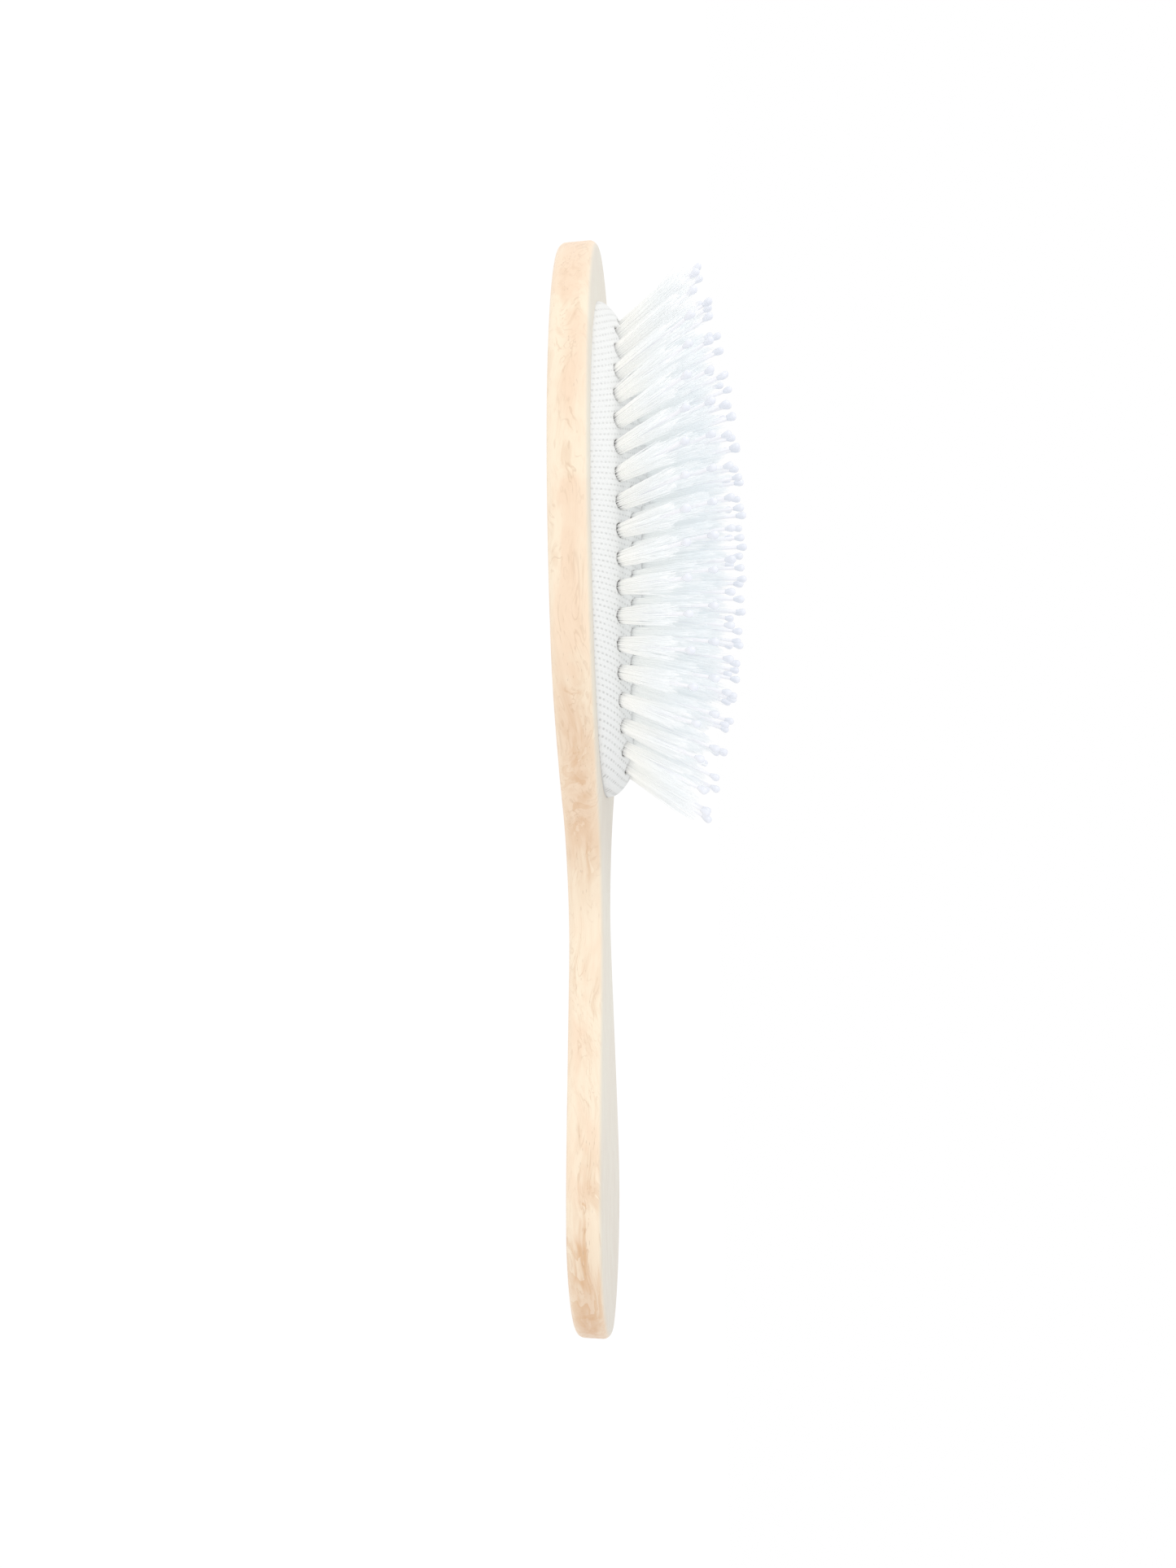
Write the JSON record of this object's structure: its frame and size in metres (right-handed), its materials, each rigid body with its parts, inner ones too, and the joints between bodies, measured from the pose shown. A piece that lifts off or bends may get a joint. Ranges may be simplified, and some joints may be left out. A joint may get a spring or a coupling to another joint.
{
  "type": "cushion hairbrush",
  "caption": "Oval wooden cushion hairbrush with bristle tufts and ball-tipped pins set in a cloth-faced air cushion.",
  "frame": {"origin": "middle of the flat back of the board, at the middle of the overall length", "axes": "+X from the head to the handle, +Y across the board, +Z out of the face, the way the bristles stand"},
  "size_m": [0.23, 0.0654, 0.0377],
  "materials": {
    "wood": "pale sanded wood, lightly oiled, fine straight grain",
    "rubber": "soft moulded rubber, matt",
    "pad_cloth": "white plain-woven cloth bonded to the rubber",
    "bristle": "ivory white fine bristle, soft sheen",
    "pin": "translucent white nylon",
    "ball_tip": "cool white glossy drop",
    "anchor_wire": "plain drawn wire"
  },
  "bodies": {
    "board": {"wood_body": "wood", "rubber_pad": "rubber", "pad_cloth": "pad_cloth"},
    "outer_ring": {"outer_ring_bristles": "bristle", "outer_ring_pins": "pin", "outer_ring_ball_tips": "ball_tip", "outer_ring_anchors": "anchor_wire"},
    "second_ring": {"second_ring_bristles": "bristle", "second_ring_pins": "pin", "second_ring_ball_tips": "ball_tip", "second_ring_anchors": "anchor_wire"},
    "third_ring": {"third_ring_bristles": "bristle", "third_ring_pins": "pin", "third_ring_ball_tips": "ball_tip", "third_ring_anchors": "anchor_wire"},
    "inner_ring": {"inner_ring_bristles": "bristle", "inner_ring_pins": "pin", "inner_ring_ball_tips": "ball_tip", "inner_ring_anchors": "anchor_wire"},
    "centre_row": {"centre_row_bristles": "bristle", "centre_row_pins": "pin", "centre_row_ball_tips": "ball_tip", "centre_row_anchors": "anchor_wire"}
  },
  "joints": [
    {"name": "centre_row_give", "type": "slide", "parent": "board", "child": "centre_row", "axis": [0, 0, -1], "range_m": [0, 0.0036], "stiffness_N_per_m": 300, "springref_m": -0.0003, "deforming": ["pad_cloth", "rubber_pad"]},
    {"name": "inner_ring_give", "type": "slide", "parent": "board", "child": "inner_ring", "axis": [0, 0, -1], "range_m": [0, 0.00343], "stiffness_N_per_m": 500, "springref_m": -0.0003},
    {"name": "third_ring_give", "type": "slide", "parent": "board", "child": "third_ring", "axis": [0, 0, -1], "range_m": [0, 0.00305], "stiffness_N_per_m": 600, "springref_m": -0.0003},
    {"name": "second_ring_give", "type": "slide", "parent": "board", "child": "second_ring", "axis": [0, 0, -1], "range_m": [0, 0.00253], "stiffness_N_per_m": 700, "springref_m": -0.0003},
    {"name": "outer_ring_give", "type": "slide", "parent": "board", "child": "outer_ring", "axis": [0, 0, -1], "range_m": [0, 0.00185], "stiffness_N_per_m": 900, "springref_m": -0.0003}
  ],
  "couplings": [
    {"joint": "inner_ring_give", "follows": "centre_row_give", "ratio": 0.9499},
    {"joint": "third_ring_give", "follows": "centre_row_give", "ratio": 0.8461},
    {"joint": "second_ring_give", "follows": "centre_row_give", "ratio": 0.702},
    {"joint": "outer_ring_give", "follows": "centre_row_give", "ratio": 0.512}
  ]
}
